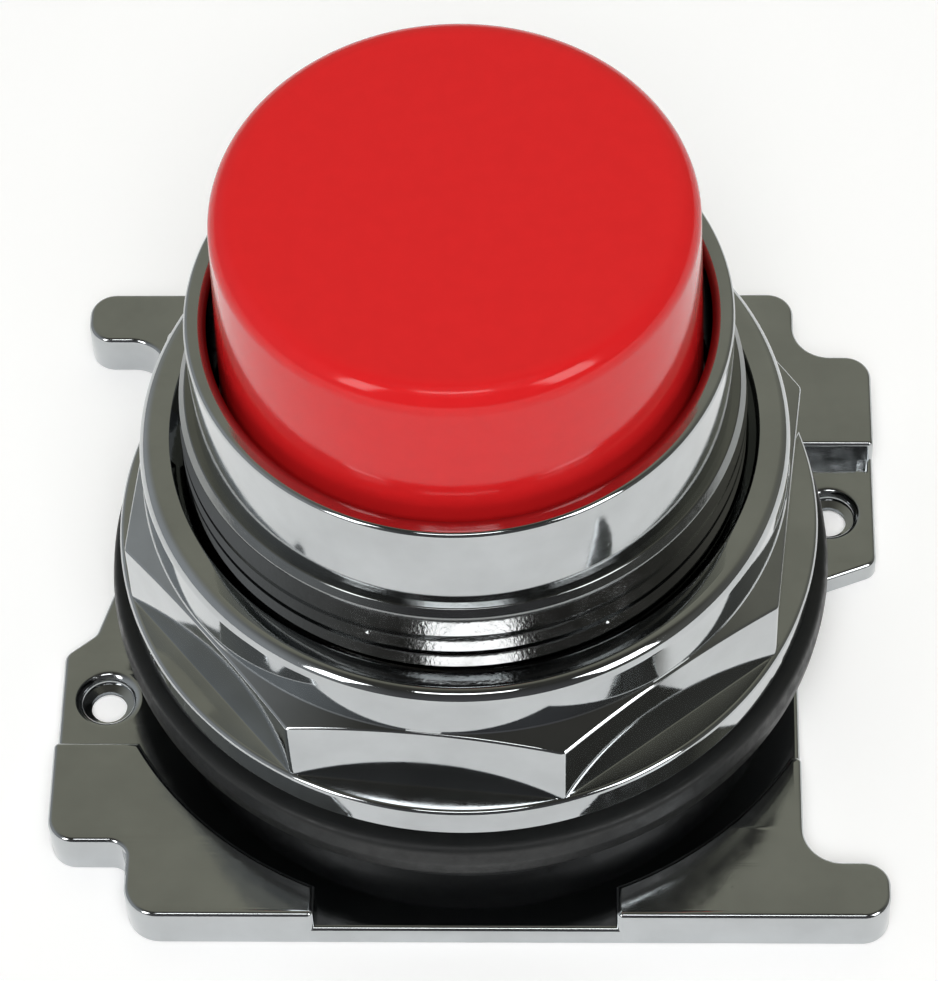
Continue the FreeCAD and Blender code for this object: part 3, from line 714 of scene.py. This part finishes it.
CAD_FINISHES = {
    "spacer_ring_lower": black_plastic, "spacer_ring_upper": black_plastic,
    "thrust_washer": plated_steel, "plunger": white_acetal, "cap_screw": plated_steel,
    "cap_lock_washer": plated_steel, "diaphragm_collar": aluminium,
    "diaphragm_clamp_ring": aluminium, "spring_seat": plated_steel,
    "guide_bush": black_plastic, "bush_retaining_ring": spring_steel,
    "bump_washer": gasket_rubber, "plunger_stop_clip": spring_steel, "actuator_pad": white_acetal,
}
for node, finish in CAD_FINISHES.items():
    cad_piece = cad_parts[node]
    cad_piece.data.materials.clear()
    cad_piece.data.materials.append(finish)


# =============================================================================
# stage: floor, sky, lights, camera
# =============================================================================
def build_floor():
    """A wide pale sheet a hair below the plate, glowing faintly so that it stays near white."""
    mesh = bpy.data.meshes.new("studio_floor")
    half = 3.0
    corners = [(-half, -half, 0), (half, -half, 0), (half, half, 0), (-half, half, 0)]
    mesh.from_pydata(corners, [], [(0, 1, 2, 3)])
    floor = bpy.data.objects.new("studio_floor", mesh)
    bpy.context.scene.collection.objects.link(floor)
    made, _, shader, _ = new_material("pale floor")
    shader.inputs["Base Color"].default_value = (0.92, 0.92, 0.92, 1)
    shader.inputs["Roughness"].default_value = 0.9
    shader.inputs["Specular IOR Level"].default_value = 0.0
    shader.inputs["Emission Color"].default_value = (1.0, 1.0, 1.0, 1)
    shader.inputs["Emission Strength"].default_value = 0.16
    mesh.materials.append(made)
    floor.location = (0, 0, -0.00002)


def build_sky():
    """A dim room: warm grey behind, dark in front, paler on the left; set by direction only."""
    world = bpy.data.worlds.new("room")
    bpy.context.scene.world = world
    world.use_nodes = True
    tree = world.node_tree
    background = tree.nodes["Background"]
    coords = tree.nodes.new("ShaderNodeTexCoord")
    split = tree.nodes.new("ShaderNodeSeparateXYZ")
    tree.links.new(coords.outputs["Generated"], split.inputs["Vector"])

    def mapped(value, stops):
        scaled = maths(tree, maths(tree, value, 0.5), 0.5, "ADD")
        return ramp(tree, scaled, stops)

    def mixed(factor, a, b):
        node = tree.nodes.new("ShaderNodeMix")
        node.data_type = "RGBA"
        tree.links.new(factor, node.inputs["Factor"])
        tree.links.new(a, node.inputs["A"])
        tree.links.new(b, node.inputs["B"])
        return node.outputs["Result"]

    front_back = mapped(split.outputs["Y"], [
        (0.0, (0.10, 0.10, 0.105)), (0.25, (0.045, 0.045, 0.042)), (0.47, (0.06, 0.058, 0.05)),
        (0.60, (0.239, 0.235, 0.189)), (1.0, (0.308, 0.308, 0.250)),
    ])
    sides = mapped(split.outputs["X"], [
        (0.0, (0.42, 0.44, 0.46)), (0.28, (0.30, 0.31, 0.31)), (0.5, (0.10, 0.10, 0.09)),
        (0.75, (0.10, 0.098, 0.085)), (1.0, (0.16, 0.16, 0.15)),
    ])
    side_share = mapped(split.outputs["X"], [(0.12, 0.9), (0.36, 0.0), (0.72, 0.0), (0.9, 0.7)])
    tree.links.new(mixed(side_share, front_back, sides), background.inputs["Color"])
    background.inputs["Strength"].default_value = 1.0


def direction(azimuth, elevation):
    """Unit vector toward an azimuth (0 = +X, in degrees) and an elevation."""
    a, e = math.radians(azimuth), math.radians(elevation)
    return Vector((math.cos(a) * math.cos(e), math.sin(a) * math.cos(e), math.sin(e)))


def area_light(name, azimuth, elevation, distance, width, height, radiance, glossy, diffuse):
    """A soft rectangle facing the object; radiance is what a mirror would show of it."""
    data = bpy.data.lights.new(name, "AREA")
    data.shape = "RECTANGLE"
    data.size, data.size_y = width, height
    data.energy = radiance * math.pi * width * height
    light = bpy.data.objects.new(name, data)
    bpy.context.scene.collection.objects.link(light)
    toward = direction(azimuth, elevation)
    light.location = toward * distance + Vector((0, 0, 0.02))
    light.rotation_mode = "QUATERNION"
    light.rotation_quaternion = toward.to_track_quat("Z", "Y")
    light.visible_camera = False
    light.visible_glossy = glossy
    light.visible_diffuse = diffuse


def build_camera():
    """The viewpoint: above and in front of the plate, a long lens, slightly rolled."""
    elevation, turn, roll = math.radians(54.836), math.radians(-3.283), math.radians(2.676)
    distance, shift_x, shift_y, rise = 252.802, 0.101, 5.582, 2.9
    right = Vector((1, 0, 0))
    up = Vector((0, math.sin(elevation), math.cos(elevation)))
    look = Vector((0, math.cos(elevation), -math.sin(elevation)))
    centre = right * shift_x + up * shift_y - look * distance
    spin = Matrix.Rotation(turn, 3, "Z").transposed()
    right, up, look, centre = spin @ right, spin @ up, spin @ look, spin @ centre
    centre += Vector((0, 0, rise))
    image_right = math.cos(roll) * right - math.sin(roll) * up
    image_up = math.sin(roll) * right + math.cos(roll) * up
    data = bpy.data.cameras.new("camera")
    data.sensor_fit = "AUTO"
    data.sensor_width = 36.0
    data.lens = 165.44
    data.clip_start, data.clip_end = 0.01, 20.0
    camera = bpy.data.objects.new("camera", data)
    bpy.context.scene.collection.objects.link(camera)
    axes = Matrix((image_right, image_up, -look)).transposed().to_4x4()
    camera.matrix_world = Matrix.Translation(centre * MM) @ axes
    bpy.context.scene.camera = camera


# name: azimuth, elevation, distance, width, height, radiance, seen in reflections, lights matt surfaces
LIGHTS = {
    "soft box overhead": (-84, 66, 1.4, 0.9, 0.9, 4.1, False, True),
    "soft box camera side": (-87, 52, 1.4, 0.5, 0.5, 6.0, False, True),
    "soft box behind": (90, 60, 1.6, 1.4, 1.2, 0.45, False, True),
    "strip left": (-131, 36, 0.9, 0.18, 0.47, 5.5, True, False),
    "strip right": (-41, 36, 0.9, 0.27, 0.47, 5.5, True, False),
    "flash front": (-91, 62, 0.9, 0.30, 0.11, 5.0, True, True),
}

build_floor()
build_sky()
for light_name, setting in LIGHTS.items():
    area_light(light_name, *setting)
build_camera()

scene = bpy.context.scene
scene.view_settings.view_transform = "Standard"
scene.view_settings.look = "None"
scene.view_settings.exposure = 0.0
scene.view_settings.gamma = 1.0
